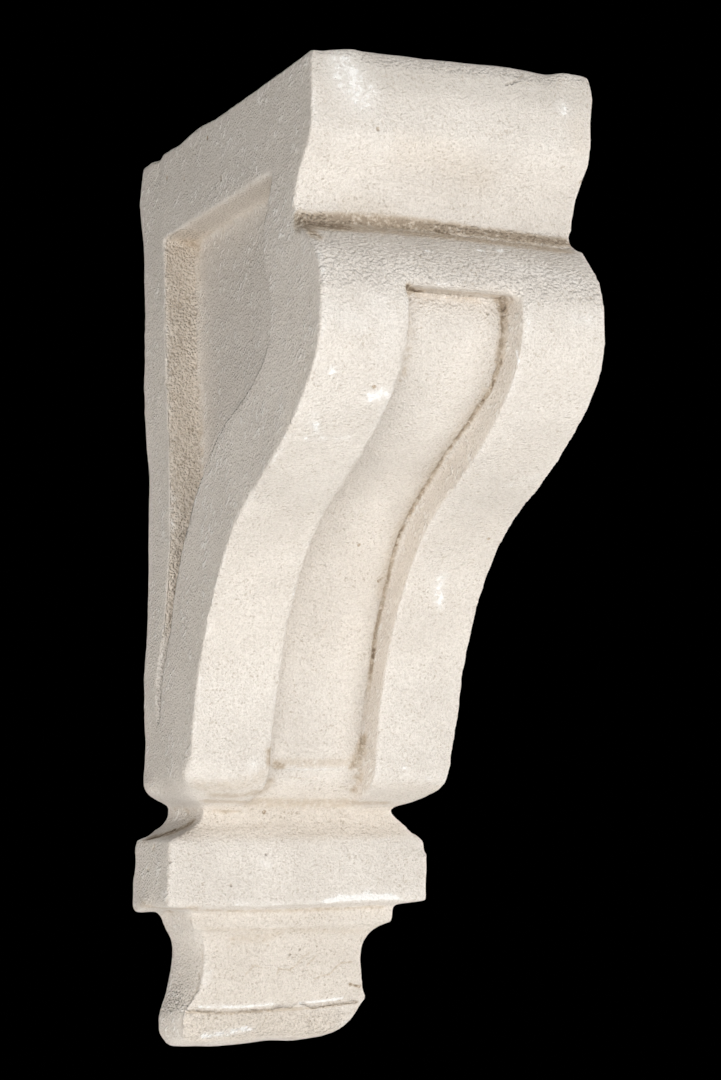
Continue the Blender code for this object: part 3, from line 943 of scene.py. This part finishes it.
# %% Give the plaster its grain
peel = {"Vector": where, "Scale": ORANGE_PEEL, "Smoothness": 0.5}
peel = add_node(tree, "TexVoronoi", peel, feature="SMOOTH_F1").outputs["Distance"]
peel_depth = spread(tree, written(tree, "rough"), 0.0, 1.0, 0.0, -1.5)
height = times(tree, peel, peel_depth)
height = plus(tree, height, sand, 0.8)
height = plus(tree, height, pores, 1.0)
height = plus(tree, height, grains(tree, where, LUMPS, 2.0), 0.5)
height = plus(tree, height, strokes, 0.5)
bump = add_node(tree, "Bump", {"Height": height, "Distance": MM, "Strength": 1.0})
tree.links.new(bump.outputs["Normal"], shader.inputs["Normal"])
print("plaster with its grain:", len(tree.nodes), "nodes")

# %% [markdown]
# The skin now takes the place of the imported solid, which is hidden. It rides on the body root and
# is made of the plaster.

# %% Stand the corbel in the solid's place
corbel = bpy.data.objects.new("plaster_corbel", skin.mesh)
bpy.context.scene.collection.objects.link(corbel)
skin.mesh.materials.clear()
skin.mesh.materials.append(plaster)
skin.mesh.shade_smooth()
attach(corbel, "root")
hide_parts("corbel")
print("corbel:", len(skin.mesh.polygons), "triangles of", plaster.name)

# %% [markdown]
# The corbel hangs in front of a dark backdrop, high over a plain pale floor, as a wall piece would.
# The floor is a wide disc far enough below that the camera, which looks slightly up, doesn't see it,
# while its pale surface still sends light back from underneath.

# %% Lay the floor
FLOOR_LEVEL = -1.2
FLOOR_RADIUS = 7.0
FLOOR_TONE = (0.62, 0.61, 0.59, 1)
BACKDROP = (0, 0, 0, 1)

bpy.ops.mesh.primitive_circle_add(vertices=96, radius=FLOOR_RADIUS, fill_type="NGON",
                                  location=(0, 0, FLOOR_LEVEL))
floor = bpy.context.object
floor.name = "floor"
floor_paint = bpy.data.materials.new("floor_paint")
floor_paint.use_nodes = True
floor_shader = floor_paint.node_tree.nodes["Principled BSDF"]
floor_shader.inputs["Base Color"].default_value = FLOOR_TONE
floor_shader.inputs["Roughness"].default_value = 0.9
floor.data.materials.append(floor_paint)

world = bpy.data.worlds.new("backdrop")
bpy.context.scene.world = world
world.use_nodes = True
world.node_tree.nodes["Background"].inputs["Color"].default_value = BACKDROP
print("floor: a disc of", FLOOR_RADIUS, "m radius, at", FLOOR_LEVEL, "m")

# %% [markdown]
# Soft studio light comes from large panels. Each one is placed by its direction from the corbel, as a
# photographer would say it: so far round, so far up, at this distance, this wide.

# %% Place the light panels
CORBEL_MIDDLE = (low + high) / 2


def light_panel(name, turn, height, distance, width, watts):
    """A soft square light that faces the corbel. Turn is 0 in front and 90 on its right."""
    data = bpy.data.lights.new(name, "AREA")
    data.size = width
    data.energy = watts
    panel = bpy.data.objects.new(name, data)
    bpy.context.scene.collection.objects.link(panel)
    a = math.radians(turn)
    e = math.radians(height)
    outwards = Vector((math.sin(a) * math.cos(e), -math.cos(a) * math.cos(e), math.sin(e)))
    panel.location = CORBEL_MIDDLE + outwards * distance
    panel.rotation_euler = outwards.to_track_quat("Z", "Y").to_euler()
    panel.visible_camera = False


LIGHT_PANELS = [
    # name, turn, height, distance in m, width in m, watts
    ("key", 25, -8, 1.9, 1.2, 22),
    ("by_the_camera", -25, -5, 2.0, 1.2, 20),
    ("low_left", -80, -33, 1.8, 1.1, 22),
    ("top", 10, 80, 1.8, 1.2, 14),
    ("right", 100, 10, 2.2, 1.2, 40),
    ("behind", 180, 20, 2.4, 1.4, 16),
]
for panel in LIGHT_PANELS:
    light_panel(*panel)
print("light panels:", len(LIGHT_PANELS))
bpy.context.scene.view_settings.view_transform = "Standard"
